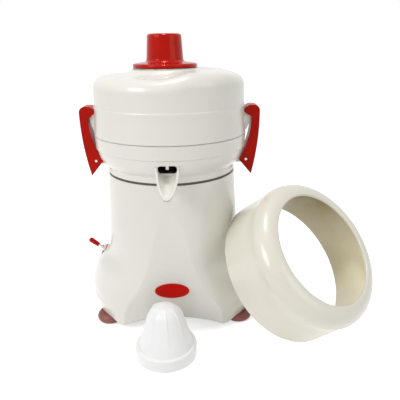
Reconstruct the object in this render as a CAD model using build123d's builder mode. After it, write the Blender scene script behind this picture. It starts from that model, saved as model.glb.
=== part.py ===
"""Countertop centrifugal juice extractor in enamelled cast metal, with its citrus reamer and collar.

The machine is drawn on its own axes: the counter is Z = 0, the motor shaft stands on the Z axis and
the spout faces -Y. Each finished piece is then saved in the frame, which has the same directions and its
origin on the counter, under the middle of the box round the machine and its two loose pieces.
All sizes are in millimetres.
"""

import os
from math import asin, atan, atan2, cos, hypot, pi, radians, sin, sqrt, tan

from build123d import *

# Origin of the frame on the machine's axes
frame_x = 81.4
frame_y = -36.8

# Heights of the stack, from the counter up
foot_height = 13.0
base_bottom = 8.0
base_top = 232.0
gasket_thickness = 3.5
bowl_height = 54.5
lid_gap = 0.3
lid_height = 81.9
neck_height = 9.8
pusher_flange_height = 8.0
knob_height = 36.5

# Base casting: a round column that spreads into two lobes, cut flat at the front and back
column_top_r = 95.5
column_foot_r = 101.8
column_foot_z = 125.0
cove_r = 45.0
lobe_r = 135.0
lobe_z = 40.0
skirt_z = 34.0
skirt_tuck = 8.0
crease_round = 5.0
panel_half_depth = 88.0
panel_waist_depth = 97.5
panel_waist_z = 85.0
panel_points = 10
casting_wall = 5.0
deck_thickness = 8.0
arch_half_width = 78.0
arch_rise = 15.0
side_edge_z = 13.0
apron_half_depth = 72.0
apron_edge_depth = 80.0
casting_section_pitch = 14.0
cut_over = 1.0
deck_hole_r = 16.0
switch_boss_rim = 2.5

# Feet, their posts and the bottom plate
foot_x = 101.0
foot_y = 54.0
foot_r = 21.0
foot_base_r = 16.5
foot_top_r = 17.0
foot_bulge_share = 0.45
post_r = 12.0
plate_thickness = 2.0
plate_half_depth = 66.0
plate_gap = 0.5
vent_circle_r = 40.0
vent_count = 12
vent_length = 22.0
vent_width = 5.0
foot_screw_r = 2.5
foot_screw_head_r = 5.0
foot_screw_head = 3.0
foot_screw_seat = 6.0
foot_screw_length = 22.0

# Motor
shaft_r = 8.5
running_gap = 0.05
bearing_r = 20.0
bearing_width = 12.0
stator_r = 68.0
air_gap = 0.5
rotor_r = 40.0
stack_height = 70.0
boss_length = 24.0
winding_inner_r = 44.0
winding_outer_r = 57.0
winding_height = 12.0
shield_wall = 3.0
shield_plate = 7.0
shield_depth = 24.0
shield_hub_r = 25.0
shield_lip = 2.0
shield_vent_r = 5.0
shield_vent_circle_r = 38.0
tie_bolt_circle_r = 61.0
tie_bolt_r = 2.5
tie_bolt_head_r = 4.5
tie_bolt_head = 3.0
tie_nut_flats = 8.0
tie_nut_height = 4.0
hole_gap = 0.3
mount_boss_r = 7.0
mount_boss_circle_r = 50.0
fixing_count = 4
fixing_start = 45.0
shield_vent_start = 22.5
motor_screw_r = 2.5
motor_screw_head_r = 4.5
motor_screw_head = 3.0
motor_screw_grip = 9.0
fan_r = 58.0
fan_hub_r = 14.0
fan_drop = 11.0
fan_height = 16.0
fan_disc = 2.0
fan_blades = 8
fan_blade = 2.0
shaft_tail = 4.0
shaft_neck_r = 7.0
shaft_thread_r = 5.0

# Bowl, its spout and the shaft seal
bowl_wall = 4.0
bowl_floor = 6.0
bowl_lip_height = 9.0
lid_r = 112.0
bowl_waist_in = 3.0
bowl_band_in = 1.2
bowl_rim_wall = 4.2
bowl_rim_depth = 11.0
bowl_band_height = 19.5
bowl_rim_chamfer = 1.0
bowl_belly = 3.0
bowl_step = 1.5
bowl_hub_r = 20.0
bowl_hub_height = 7.0
seal_r = 14.0
seal_height = 9.0
bowl_screw_in = 13.5
bowl_screw_r = 2.5
bowl_screw_head_r = 4.5
bowl_screw_head = 3.0
bowl_screw_grip = 6.0
gasket_width = 8.0
gasket_recess = 0.8
spout_half_width = 17.0
spout_wall = 3.2
spout_slope = 26.0
spout_taper = 7.0
spout_tip_out = 25.0
spout_tip_drop = 11.5
spout_rim_in = 9.0
spout_rim_rise = 32.0
spout_root_in = 20.0
spout_run_in = 40.0
spout_over = 12.0
outlet_half_width = 12.5
outlet_rise = 16.0
outlet_height = 11.5
outlet_depth = 22.0
outlet_corner_r = 4.0
outlet_tooth_width = 4.0
outlet_tooth = 5.0

# Rotor above the deck
basket_rise = 22.0
basket_floor_in = 46.0
basket_rim_in = 24.0
basket_height = 62.0
basket_sheet = 1.6
basket_lip = 4.0
basket_hub_r = 16.0
basket_hub_drop = 6.0
slot_rows = 3
slots_per_row = 24
slot_width = 3.0
slot_height = 12.0
grater_in = 6.0
grater_sheet = 2.0
grater_rings = 3
grater_first_ring_r = 24.0
grater_ring_step = 14.0
grater_tooth_r = 2.2
grater_tooth = 2.2
grater_tooth_spacing = 13.0
grater_tooth_draft = 35.0
nut_across_flats = 19.0
nut_height = 9.0
nut_chamfer = 1.0

# Lid
lid_wall = 8.0
lid_ridge_rise = 39.0
lid_ridge_in = 2.7
lid_ridge_groove = 1.0
lid_shoulder_rise = 61.0
lid_shoulder_in = 3.3
lid_shoulder_lean = 1.0
lid_corner_r = 17.0
lid_blank_over = 50.0
roof_grid = 11
roof_margin = 13.0
lid_crown = 1.0
lid_fall = 9.0
lid_fall_x = 60.0
hump_height = 6.0
hump_line_x = 6.0
hump_swing = 34.0
hump_return = 60.0
hump_slope = 40.0
hump_offset = 16.0
hump_front = 100.0
hump_front_run = 90.0
hump_back = 10.0
hump_back_run = 110.0
lid_roof = 8.0
lid_inner_round = 16.0
lid_spigot = 7.0
lid_spigot_gap = 0.4
lid_gasket_width = 2.0
lid_gasket_depth = 2.0
chute_x = -3.5
chute_y = -20.0
neck_r = 45.5
neck_flare = 10.0
neck_sink = 1.5
neck_band = 3.0
tube_r = 42.0
tube_wall = 2.2
tube_rise = 20.0
press_gap = 0.03

# Pusher
pusher_flange_r = 45.0
pusher_gap = 0.5
pusher_seat_gap = 0.3
pusher_flange_round = 3.0
plunger_length = 96.0
plunger_wall = 3.5
plunger_cap = 4.0
knob_base_r = 25.5
knob_top_r = 23.6
knob_round = 4.0

# Side latches: distances outside the lid's rim and heights above or below the lid's seam
latch_pivot_out = 1.0
latch_pivot_drop = 43.0
latch_half_width = 12.0
latch_pin_r = 2.0
latch_lug_gap = 0.35
latch_top_rise = 38.0
latch_top_flat = 8.5
latch_outer_out = 20.0
latch_outer_rise = 29.0
latch_flank_out = 17.3
latch_flank_drop = 20.0
latch_tail_out = 9.0
latch_tail_drop = 65.7
latch_heel_in = 9.5
latch_heel_drop = 43.5
latch_waist_in = 0.0
latch_waist_drop = 23.0
latch_inner_out = 7.8
latch_hook_in = 1.6
latch_hook_rise = 27.0
latch_hook_height = 7.0
latch_round = 3.0
hook_slope = 32.0
hook_gap = 0.35
ear_half_width = 8.0
ear_foot_rise = 2.0
ear_foot_out = 1.2
ear_waist_rise = 13.0
ear_out = 5.6
ear_root_in = 6.0
lug_end_r = 5.0
lug_root_in = 1.5
slot_clearance = 0.6
latch_pin_end = 0.4
latch_pin_gap = 0.05

# Toggle switch on the left flank
switch_z = 96.0
switch_tilt = 25.0
switch_pad_r = 11.5
switch_pad_sink = 2.5
switch_plate_r = 9.5
switch_plate_sheet = 1.0
switch_barrel_r = 5.5
switch_nut_flats = 14.0
switch_nut_height = 3.5
switch_barrel_out = 8.0
switch_body_width = 15.0
switch_body_length = 26.0
switch_body_depth = 22.0
switch_bore_r = 4.2
switch_pivot_sink = 3.5
lever_rest = 13.0
lever_r = 2.2
lever_length = 26.0
cap_r = 4.2
cap_start = 9.0
cap_length = 18.5
cap_draft = 0.6
switch_ball_r = 3.6
trunnion_r = 1.2
trunnion_half = 4.0

# Badge plate, mains gland
badge_half_width = 25.0
badge_half_height = 12.4
badge_z = 72.5
badge_sheet = 1.2
gland_z = 42.0
gland_x = 30.0
gland_r = 8.0
gland_flange_r = 11.0
gland_flange = 2.5
gland_bore_r = 4.0
gland_neck = 9.0
gland_seat_in = 2.0

# Citrus reamer and collar, standing on the counter beside the machine
reamer_x = -8.0
reamer_y = -142.5
reamer_flange_r = 43.0
reamer_flange_height = 18.0
reamer_height = 77.5
reamer_flange_round = 2.5
reamer_cone_r = 37.5
reamer_shoulder_r = 22.5
reamer_shoulder_z = 64.0
reamer_flutes = 8
flute_points = 8
cone_sections = 5
reamer_flute_depth = 3.0
reamer_wall = 5.0
reamer_hollow_top_r = 13.0
reamer_hollow_top_z = 52.0
reamer_socket_top = 63.0
reamer_socket_r = 6.0
reamer_belly = 1.5
collar_wall = 5.0
collar_height = 85.0
collar_band = 40.0
collar_straight = 62.0
collar_hollow = 0.8
collar_hole_in = 29.2
collar_lean = 40.8
collar_turn = -46.0
collar_bearing = -17.6
collar_clearance = 0.5
rim_steps = 180
halvings = 40

# Heights and radii that follow from the sizes above
bowl_bottom = base_top + gasket_thickness
bowl_floor_z = bowl_bottom + bowl_floor
bowl_hub_top = bowl_floor_z + bowl_hub_height
seam = bowl_bottom + bowl_height
band_z = seam - bowl_band_height
lid_bottom = seam + lid_gap
lid_top = lid_bottom + lid_height
neck_top = lid_top + neck_height
deck_underside = base_top - deck_thickness
shield_top = deck_underside - boss_length
stack_top = shield_top - shield_depth
stack_bottom = stack_top - stack_height
shield_bottom = stack_bottom - shield_depth
stack_middle = (stack_top + stack_bottom) / 2
fan_top = shield_bottom - fan_drop
fan_bottom = fan_top - fan_height
plate_top = side_edge_z + plate_thickness
bowl_inner_r = lid_r - bowl_rim_wall
bowl_screw_circle_r = column_top_r - bowl_screw_in
basket_floor_z = bowl_bottom + basket_rise
basket_floor_r = lid_r - basket_floor_in
basket_rim_r = lid_r - basket_rim_in
basket_rim_z = basket_floor_z + basket_height
grater_bottom = basket_floor_z + basket_sheet
grater_top = grater_bottom + grater_sheet
latch_pivot_x = lid_r + latch_pivot_out
latch_pivot_z = seam - latch_pivot_drop
latch_hook_x = lid_r - latch_hook_in
latch_hook_z = seam + latch_hook_rise
switch_top = -(casting_wall + switch_pad_sink)
collar_r = lid_r
collar_hole_r = collar_r - collar_hole_in

os.makedirs("parts", exist_ok=True)


def save(builder, name):
    """Bring a finished piece from the machine's axes to the frame and write it under its own name."""
    piece = builder.part.translate((-frame_x, -frame_y, 0), transform=True)
    piece.label = name
    export_step(piece, f"parts/{name}.step")


def smooth(value):
    """Rise from 0 to 1 with no corner at either end."""
    held = min(1.0, max(0.0, value))
    return held * held * (3.0 - 2.0 * held)


# The bell outline of the casting: column line, cove arc, lobe arc and a skirt that leans in
column_slope = (column_foot_r - column_top_r) / (base_top - column_foot_z)
column_lean = atan(column_slope)
cove_x = column_foot_r + cove_r * cos(column_lean)
cove_z = column_foot_z + cove_r * sin(column_lean)
cove_reach = cove_x - lobe_r
cove_drop = cove_z - lobe_z
lobe_arc_r = (cove_reach**2 + cove_drop**2 - cove_r**2) / (2 * (cove_r - cove_reach))
cove_end_z = cove_z - cove_r * sin(atan2(cove_drop, cove_reach + lobe_arc_r))


def column_radius(z):
    """The column's radius at a height, above the cove."""
    return column_top_r + (base_top - z) * column_slope


def bell_radius(z):
    """Half the casting's width, across the machine, at a height."""
    if z >= column_foot_z:
        return column_radius(z)
    if z >= cove_end_z:
        return cove_x - sqrt(cove_r**2 - (cove_z - z) ** 2)
    if z >= lobe_z:
        return lobe_r - lobe_arc_r + sqrt(lobe_arc_r**2 - (z - lobe_z) ** 2)
    if z >= skirt_z:
        return lobe_r
    return lobe_r - skirt_tuck * (skirt_z - z) / (skirt_z - base_bottom)


def panel_depth(z):
    """Distance of the front and back panels from the shaft at a height."""
    rise = smooth((z - base_bottom) / (panel_waist_z - base_bottom))
    return panel_half_depth + (panel_waist_depth - panel_half_depth) * rise


def oval_face(z, inset):
    """The casting's oval section at a height, drawn in by an inset."""
    with BuildSketch(Plane.XY.offset(z)) as oval:
        Ellipse(bell_radius(z) - inset, column_radius(z) - inset)
    return oval.sketch


def between_panels(inset):
    """The space between the front and back panels, drawn in by an inset, as seen from the side."""
    heights = [column_foot_z * index / panel_points for index in range(panel_points + 1)]
    with BuildSketch(Plane.YZ) as space:
        with BuildLine():
            front = Spline(*[(inset - panel_depth(z), z) for z in heights])
            back = Spline(*[(panel_depth(z) - inset, z) for z in heights])
            Polyline(front @ 1, ((front @ 1).X, lid_bottom), ((back @ 1).X, lid_bottom), back @ 1)
            Line(front @ 0, back @ 0)
        make_face()
    return space.sketch


def casting_form(inset, low, high):
    """The casting's form between two heights: a bell of oval sections on a skirt, cut by two panels."""
    steps = round((high - skirt_z) / casting_section_pitch)
    rises = [(high - skirt_z) * index / steps for index in range(steps + 1)]
    with BuildPart() as form:
        loft([oval_face(skirt_z + rise, inset) for rise in rises])
        loft([oval_face(low, inset), oval_face(skirt_z, inset)], ruled=True)
        extrude(between_panels(inset), amount=2 * lobe_r, both=True, mode=Mode.INTERSECT)
    return form.part


def disc(radius, low, high, mode=Mode.ADD):
    """Add or cut a round plug about the shaft, between two heights."""
    with BuildSketch(Plane.XY.offset(low)) as plug:
        Circle(radius)
    extrude(plug.sketch, amount=high - low, mode=mode)


def ring(inner_r, outer_r, low, high):
    """Add a ring about the shaft, between two heights."""
    with BuildSketch(Plane.XY.offset(low)) as band:
        Circle(outer_r)
        Circle(inner_r, mode=Mode.SUBTRACT)
    extrude(band.sketch, amount=high - low)


def pegs(radius, circle_r, count, low, high, mode=Mode.ADD, start=fixing_start):
    """Add or cut round plugs on a circle about the shaft, between two heights."""
    with BuildSketch(Plane.XY.offset(low)) as plugs:
        with PolarLocations(circle_r, count, start_angle=start):
            Circle(radius)
    extrude(plugs.sketch, amount=high - low, mode=mode)


def foot_plugs(radius, low, high, mode=Mode.ADD):
    """Add or cut round plugs over the four feet, between two heights."""
    with BuildSketch(Plane.XY.offset(low)) as plugs:
        with GridLocations(2 * foot_x, 2 * foot_y, 2, 2):
            Circle(radius)
    extrude(plugs.sketch, amount=high - low, mode=mode)


def cap_screw(radius, head_r, head, length):
    """A screw that points up, with the underside of its head at zero height."""
    with BuildPart() as screw:
        Cylinder(radius, length, align=(Align.CENTER, Align.CENTER, Align.MIN))
        Cylinder(head_r, head, align=(Align.CENTER, Align.CENTER, Align.MAX))
        chamfer(screw.edges().group_by(Axis.Z)[0], length=head / 4)
    return screw.part


switch_normal = Vector(-cos(radians(switch_tilt)), 0, sin(radians(switch_tilt)))
switch_origin = Vector(-(bell_radius(switch_z) - switch_pad_sink), 0, switch_z)
switch_place = Plane(origin=switch_origin, x_dir=(0, 1, 0), z_dir=switch_normal)
gland_place = Plane(
    origin=(gland_x, panel_depth(gland_z) - gland_seat_in, gland_z),
    x_dir=(-1, 0, 0),
    z_dir=(0, 1, 0),
)

# Base housing: the bell casting with its deck, motor bosses, foot posts and switch pad
with BuildPart() as outer_form:
    add(casting_form(0.0, base_bottom, base_top))
    creases = [
        edge
        for edge in outer_form.edges()
        if edge.bounding_box().size.Z > cove_r and edge.center().Y ** 2 > cove_r**2
    ]
    fillet(creases, radius=crease_round)

with BuildPart() as base_housing:
    add(outer_form.part)
    add(casting_form(casting_wall, base_bottom - cut_over, deck_underside), mode=Mode.SUBTRACT)
    foot_plugs(post_r, plate_top, column_foot_z)
    with BuildSketch(switch_place.offset(switch_top)):
        Circle(switch_pad_r + switch_boss_rim)
    extrude(amount=casting_wall)
    pegs(mount_boss_r, mount_boss_circle_r, fixing_count, shield_top, deck_underside)
    add(outer_form.part, mode=Mode.INTERSECT)
    with BuildSketch(Plane.XZ):
        with BuildLine():
            arch = ThreePointArc(
                (-arch_half_width, base_bottom),
                (0, base_bottom + arch_rise),
                (arch_half_width, base_bottom),
            )
            Line(arch @ 1, arch @ 0)
        make_face()
    extrude(amount=lobe_r, both=True, mode=Mode.SUBTRACT)
    with BuildSketch(Plane.YZ):
        Polygon(
            (-apron_edge_depth, base_bottom),
            (-apron_half_depth, side_edge_z),
            (apron_half_depth, side_edge_z),
            (apron_edge_depth, base_bottom),
            align=None,
        )
    extrude(amount=lobe_r, both=True, mode=Mode.SUBTRACT)
    with BuildSketch(switch_place):
        Circle(switch_pad_r)
    extrude(amount=4 * switch_pad_r, mode=Mode.SUBTRACT)
    with BuildSketch(switch_place):
        Circle(switch_barrel_r + hole_gap)
    extrude(amount=2 * switch_top, mode=Mode.SUBTRACT)
    with BuildSketch(gland_place):
        Circle(gland_flange_r + hole_gap)
    extrude(amount=casting_wall, mode=Mode.SUBTRACT)
    with BuildSketch(gland_place):
        Circle(gland_r)
    extrude(amount=-2 * casting_wall, mode=Mode.SUBTRACT)
    disc(deck_hole_r, deck_underside, base_top, Mode.SUBTRACT)
    foot_plugs(foot_screw_r, plate_top, plate_top + foot_screw_length, Mode.SUBTRACT)
    pegs(
        motor_screw_r,
        mount_boss_circle_r,
        fixing_count,
        shield_top,
        shield_top + motor_screw_grip,
        Mode.SUBTRACT,
    )
    pegs(
        bowl_screw_r,
        bowl_screw_circle_r,
        fixing_count,
        base_top - bowl_screw_grip,
        base_top,
        Mode.SUBTRACT,
    )
save(base_housing, "base_housing")

# Badge plate, curved to the front panel and left bare
with BuildPart() as badge_plate:
    extrude(between_panels(-badge_sheet), amount=2 * badge_half_width, both=True)
    extrude(between_panels(0.0), amount=2 * badge_half_width, both=True, mode=Mode.SUBTRACT)
    with BuildSketch(Plane.XZ):
        with Locations((0, badge_z)):
            Ellipse(badge_half_width, badge_half_height)
    extrude(amount=lobe_r, mode=Mode.INTERSECT)
save(badge_plate, "badge_plate")

# Bottom plate with its vents
with BuildPart() as bottom_plate:
    extrude(oval_face(side_edge_z, casting_wall + plate_gap), amount=plate_thickness)
    with BuildSketch(Plane.XY.offset(side_edge_z)):
        Rectangle(2 * lobe_r, 2 * plate_half_depth)
    extrude(amount=plate_thickness, mode=Mode.INTERSECT)
    foot_plugs(foot_screw_r + hole_gap, side_edge_z, plate_top, Mode.SUBTRACT)
    with BuildSketch(Plane.XY.offset(side_edge_z)):
        with PolarLocations(vent_circle_r, vent_count):
            SlotOverall(vent_length, vent_width)
    extrude(amount=plate_thickness, mode=Mode.SUBTRACT)
save(bottom_plate, "bottom_plate")

# Rubber feet: turned bumpers with a sunk screw hole
with BuildPart() as one_foot:
    with BuildSketch(Plane.XZ):
        with BuildLine():
            ground = Line((0, 0), (foot_base_r, 0))
            bulge = ThreePointArc(
                ground @ 1,
                (foot_r, foot_height * foot_bulge_share),
                (foot_top_r, foot_height),
            )
            Polyline(bulge @ 1, (0, foot_height), (0, 0))
        make_face()
    revolve(axis=Axis.Z)
    disc(foot_screw_r + hole_gap, 0, foot_height, Mode.SUBTRACT)
    disc(foot_screw_head_r + hole_gap, 0, foot_screw_seat, Mode.SUBTRACT)

with BuildPart() as rubber_feet:
    with GridLocations(2 * foot_x, 2 * foot_y, 2, 2):
        add(one_foot.part)
save(rubber_feet, "rubber_feet")

# Foot screws, driven up through the feet and the plate into the posts
foot_screw_reach = plate_top + foot_screw_length - foot_screw_seat
with BuildPart() as foot_screws:
    with Locations((0, 0, foot_screw_seat)):
        with GridLocations(2 * foot_x, 2 * foot_y, 2, 2):
            add(cap_screw(foot_screw_r, foot_screw_head_r, foot_screw_head, foot_screw_reach))
save(foot_screws, "foot_screws")

# Gland for a mains lead in the back panel: a grommet with an open bore
with BuildPart() as cord_gland:
    with BuildSketch(gland_place):
        Circle(gland_flange_r)
    extrude(amount=gland_flange)
    chamfer(cord_gland.edges().group_by(Axis.Y)[-1], length=gland_flange / 3)
    with BuildSketch(gland_place):
        Circle(gland_r - press_gap)
    extrude(amount=-gland_neck)
    with BuildSketch(gland_place.offset(gland_flange)):
        Circle(gland_bore_r)
    extrude(amount=-gland_flange - gland_neck, mode=Mode.SUBTRACT)
save(cord_gland, "cord_gland")

# Motor end shields: cups with a bearing seat in the hub
with BuildPart() as end_shield_upper:
    disc(stator_r, stack_top, shield_top)
    disc(stator_r - shield_wall, stack_top, shield_top - shield_plate, Mode.SUBTRACT)
    disc(shield_hub_r, shield_top - shield_lip - bearing_width, shield_top - shield_plate)
    disc(bearing_r + press_gap, stack_top, shield_top - shield_lip, Mode.SUBTRACT)
    disc(bearing_r - shield_lip, stack_top, shield_top, Mode.SUBTRACT)
    pegs(
        tie_bolt_r + hole_gap,
        tie_bolt_circle_r,
        fixing_count,
        stack_top,
        shield_top,
        Mode.SUBTRACT,
        start=0.0,
    )
    pegs(
        motor_screw_r + hole_gap,
        mount_boss_circle_r,
        fixing_count,
        stack_top,
        shield_top,
        Mode.SUBTRACT,
    )
    pegs(
        shield_vent_r,
        shield_vent_circle_r,
        2 * fixing_count,
        stack_top,
        shield_top,
        Mode.SUBTRACT,
        start=shield_vent_start,
    )
save(end_shield_upper, "end_shield_upper")

with BuildPart() as end_shield_lower:
    add(mirror(end_shield_upper.part, about=Plane.XY.offset(stack_middle), mode=Mode.PRIVATE))
save(end_shield_lower, "end_shield_lower")

# Stator stack, windings and bearings
with BuildPart() as stator:
    ring(rotor_r + air_gap, stator_r, stack_bottom, stack_top)
    pegs(
        tie_bolt_r + hole_gap,
        tie_bolt_circle_r,
        fixing_count,
        stack_bottom,
        stack_top,
        Mode.SUBTRACT,
        start=0.0,
    )
save(stator, "stator")

with BuildPart() as windings:
    ring(winding_inner_r, winding_outer_r, stack_top, stack_top + winding_height)
    ring(winding_inner_r, winding_outer_r, stack_bottom - winding_height, stack_bottom)
save(windings, "windings")

with BuildPart() as bearing_upper:
    bearing_top = shield_top - shield_lip
    ring(shaft_r + running_gap, bearing_r, bearing_top - bearing_width, bearing_top)
save(bearing_upper, "bearing_upper")

with BuildPart() as bearing_lower:
    bearing_floor = shield_bottom + shield_lip
    ring(shaft_r + running_gap, bearing_r, bearing_floor, bearing_floor + bearing_width)
save(bearing_lower, "bearing_lower")

# Tie bolts through the motor, their nuts, and the screws that hang it from the deck
with BuildPart() as tie_bolts:
    with Locations((0, 0, shield_bottom)):
        with PolarLocations(tie_bolt_circle_r, fixing_count):
            bolt_reach = shield_top - shield_bottom + tie_nut_height
            add(cap_screw(tie_bolt_r, tie_bolt_head_r, tie_bolt_head, bolt_reach))
save(tie_bolts, "tie_bolts")

with BuildPart() as tie_nuts:
    with BuildSketch(Plane.XY.offset(shield_top)):
        with PolarLocations(tie_bolt_circle_r, fixing_count):
            RegularPolygon(tie_nut_flats / 2, 6, major_radius=False)
            Circle(tie_bolt_r + press_gap, mode=Mode.SUBTRACT)
    extrude(amount=tie_nut_height)
save(tie_nuts, "tie_nuts")

with BuildPart() as motor_screws:
    with Locations((0, 0, shield_top - shield_plate)):
        with PolarLocations(mount_boss_circle_r, fixing_count, start_angle=fixing_start):
            screw_reach = shield_plate + motor_screw_grip
            add(cap_screw(motor_screw_r, motor_screw_head_r, motor_screw_head, screw_reach))
save(motor_screws, "motor_screws")

# Rotor core, shaft and cooling fan
with BuildPart() as rotor_core:
    ring(shaft_r + press_gap, rotor_r, stack_bottom, stack_top)
save(rotor_core, "rotor_core")

with BuildPart() as shaft:
    disc(shaft_r, fan_bottom - shaft_tail, basket_floor_z - basket_hub_drop)
    disc(shaft_neck_r, basket_floor_z - basket_hub_drop, grater_top)
    disc(shaft_thread_r, grater_top, grater_top + nut_height)
save(shaft, "shaft")

with BuildPart() as cooling_fan:
    disc(fan_hub_r, fan_bottom, fan_top)
    disc(fan_r, fan_top - fan_disc, fan_top)
    with BuildSketch(Plane.XY.offset(fan_bottom)):
        with PolarLocations(fan_r / 2, fan_blades):
            Rectangle(fan_r - 2 * fan_blade, fan_blade)
    extrude(amount=fan_height)
    disc(shaft_r + press_gap, fan_bottom, fan_top, Mode.SUBTRACT)
save(cooling_fan, "cooling_fan")

# Gasket between the casting and the bowl
with BuildPart() as bowl_gasket:
    gasket_r = column_top_r - gasket_recess
    ring(gasket_r - gasket_width, gasket_r, base_top, bowl_bottom)
save(bowl_gasket, "bowl_gasket")

# The spout's trough: a narrowing U, tipped down, cut off along its sloping rim
spout_pitch = radians(spout_slope + spout_taper)
spout_root_reach = lid_r - spout_root_in
spout_tip_reach = lid_r + spout_tip_out
spout_tip_z = bowl_bottom - spout_tip_drop
spout_root_z = spout_tip_z + (spout_tip_reach - spout_root_reach) * tan(radians(spout_slope))
spout_out = Vector(0, -cos(spout_pitch), -sin(spout_pitch))
spout_up = Vector(0, -sin(spout_pitch), cos(spout_pitch))
spout_place = Plane(
    origin=Vector(0, -spout_root_reach, spout_root_z) + spout_up * spout_half_width,
    x_dir=(1, 0, 0),
    z_dir=spout_out,
)
spout_length = (spout_tip_reach - spout_root_reach) / cos(spout_pitch) + spout_over


def trough(half_width):
    """A U-shaped bar along the spout, narrowing toward its tip."""
    sections = []
    for along in (-spout_run_in, spout_length):
        half = half_width - along * tan(radians(spout_taper))
        with BuildSketch(spout_place.offset(along)) as section:
            Circle(half)
            with Locations((0, spout_rim_rise)):
                Rectangle(2 * half, 2 * spout_rim_rise)
        sections.append(section.sketch)
    with BuildPart() as bar:
        loft(sections, ruled=True)
    return bar.part


with BuildPart() as spout_form:
    add(trough(spout_half_width))
    add(trough(spout_half_width - spout_wall), mode=Mode.SUBTRACT)
    with BuildSketch(Plane.YZ):
        rim_y = -(lid_r - spout_rim_in)
        rim_z = bowl_bottom + spout_rim_rise
        far_y = -3 * spout_tip_reach - 2 * rim_y
        Polygon(
            (rim_y, rim_z),
            (far_y, 3 * spout_tip_z - 2 * rim_z),
            (far_y, neck_top),
            (0, neck_top),
            (0, rim_z),
            align=None,
        )
    extrude(amount=lid_r, both=True, mode=Mode.SUBTRACT)

# Bowl: a turned cup on a narrow lip, with the outlet and two latch lugs
with BuildPart() as bowl_blank:
    with BuildSketch(Plane.XZ):
        with BuildLine():
            lip = Polyline(
                (0, bowl_bottom),
                (column_top_r, bowl_bottom),
                (column_top_r, bowl_bottom + bowl_lip_height),
            )
            belly = SagittaArc(lip @ 1, (lid_r - bowl_waist_in, band_z - bowl_step), -bowl_belly)
            Polyline(
                belly @ 1,
                (lid_r - bowl_band_in, band_z),
                (lid_r, seam - bowl_rim_chamfer),
                (lid_r - bowl_rim_chamfer, seam),
                (0, seam),
                (0, bowl_bottom),
            )
        make_face()
    revolve(axis=Axis.Z)

with BuildPart() as bowl:
    add(bowl_blank.part)
    with BuildSketch(Plane.XZ):
        for side in (1, -1):
            lug_root_x = column_top_r - lug_root_in
            with Locations((side * latch_pivot_x, latch_pivot_z)):
                Circle(lug_end_r)
            with Locations((side * (latch_pivot_x + lug_root_x) / 2, latch_pivot_z)):
                Rectangle(latch_pivot_x - lug_root_x, 2 * lug_end_r)
    extrude(amount=ear_half_width - latch_lug_gap, both=True)
    with BuildSketch(Plane.XZ):
        with BuildLine():
            hub = Polyline(
                (0, seam),
                (0, bowl_hub_top),
                (bowl_hub_r, bowl_hub_top),
                (bowl_hub_r, bowl_floor_z),
                (column_top_r - bowl_wall, bowl_floor_z),
            )
            inner_waist = (lid_r - bowl_waist_in - bowl_wall, band_z - bowl_step)
            inner_belly = SagittaArc(hub @ 1, inner_waist, -bowl_belly)
            Polyline(
                inner_belly @ 1,
                (bowl_inner_r, seam - bowl_rim_depth),
                (bowl_inner_r, seam),
                (0, seam),
            )
        make_face()
    revolve(axis=Axis.Z, mode=Mode.SUBTRACT)
    disc(seal_r + press_gap, bowl_bottom, bowl_hub_top, Mode.SUBTRACT)
    gasket_middle_r = (lid_r + bowl_inner_r) / 2
    with BuildSketch(Plane.XY.offset(seam)):
        Circle(gasket_middle_r + lid_gasket_width / 2)
        Circle(gasket_middle_r - lid_gasket_width / 2, mode=Mode.SUBTRACT)
    extrude(amount=-lid_gasket_depth, mode=Mode.SUBTRACT)
    with BuildSketch(Plane.XZ.offset(spout_root_reach - outlet_corner_r)):
        with Locations((0, bowl_bottom + outlet_rise)):
            outlet = Rectangle(2 * outlet_half_width, outlet_height, align=(Align.CENTER, Align.MIN))
        fillet(outlet.vertices().group_by(Axis.Z)[0], radius=outlet_corner_r)
        with Locations((0, bowl_bottom + outlet_rise + outlet_height)):
            Rectangle(
                outlet_tooth_width,
                outlet_tooth,
                align=(Align.CENTER, Align.MAX),
                mode=Mode.SUBTRACT,
            )
    extrude(amount=outlet_depth, mode=Mode.SUBTRACT)
    with BuildSketch(Plane.XZ):
        with Locations((latch_pivot_x, latch_pivot_z), (-latch_pivot_x, latch_pivot_z)):
            Circle(latch_pin_r)
    extrude(amount=latch_half_width, both=True, mode=Mode.SUBTRACT)
    pegs(
        bowl_screw_r + hole_gap,
        bowl_screw_circle_r,
        fixing_count,
        bowl_bottom,
        bowl_floor_z,
        Mode.SUBTRACT,
    )
save(bowl, "bowl")

# Spout, brazed to the front of the bowl over the outlet
with BuildPart() as spout:
    add(spout_form.part)
    add(bowl_blank.part, mode=Mode.SUBTRACT)
save(spout, "spout")

# Screws that hold the bowl to the deck, the shaft seal and the gasket under the lid
with BuildPart() as bowl_screws:
    with Locations((0, 0, bowl_floor_z)):
        with PolarLocations(bowl_screw_circle_r, fixing_count, start_angle=fixing_start):
            deck_reach = bowl_floor_z - base_top + bowl_screw_grip
            screw = cap_screw(bowl_screw_r, bowl_screw_head_r, bowl_screw_head, deck_reach)
            add(screw, rotation=(180, 0, 0))
save(bowl_screws, "bowl_screws")

with BuildPart() as shaft_seal:
    ring(shaft_r + running_gap, seal_r, bowl_hub_top - seal_height, bowl_hub_top)
save(shaft_seal, "shaft_seal")

with BuildPart() as lid_gasket:
    inner_r = gasket_middle_r - lid_gasket_width / 2
    ring(inner_r, inner_r + lid_gasket_width, seam - lid_gasket_depth, lid_bottom)
save(lid_gasket, "lid_gasket")

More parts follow.
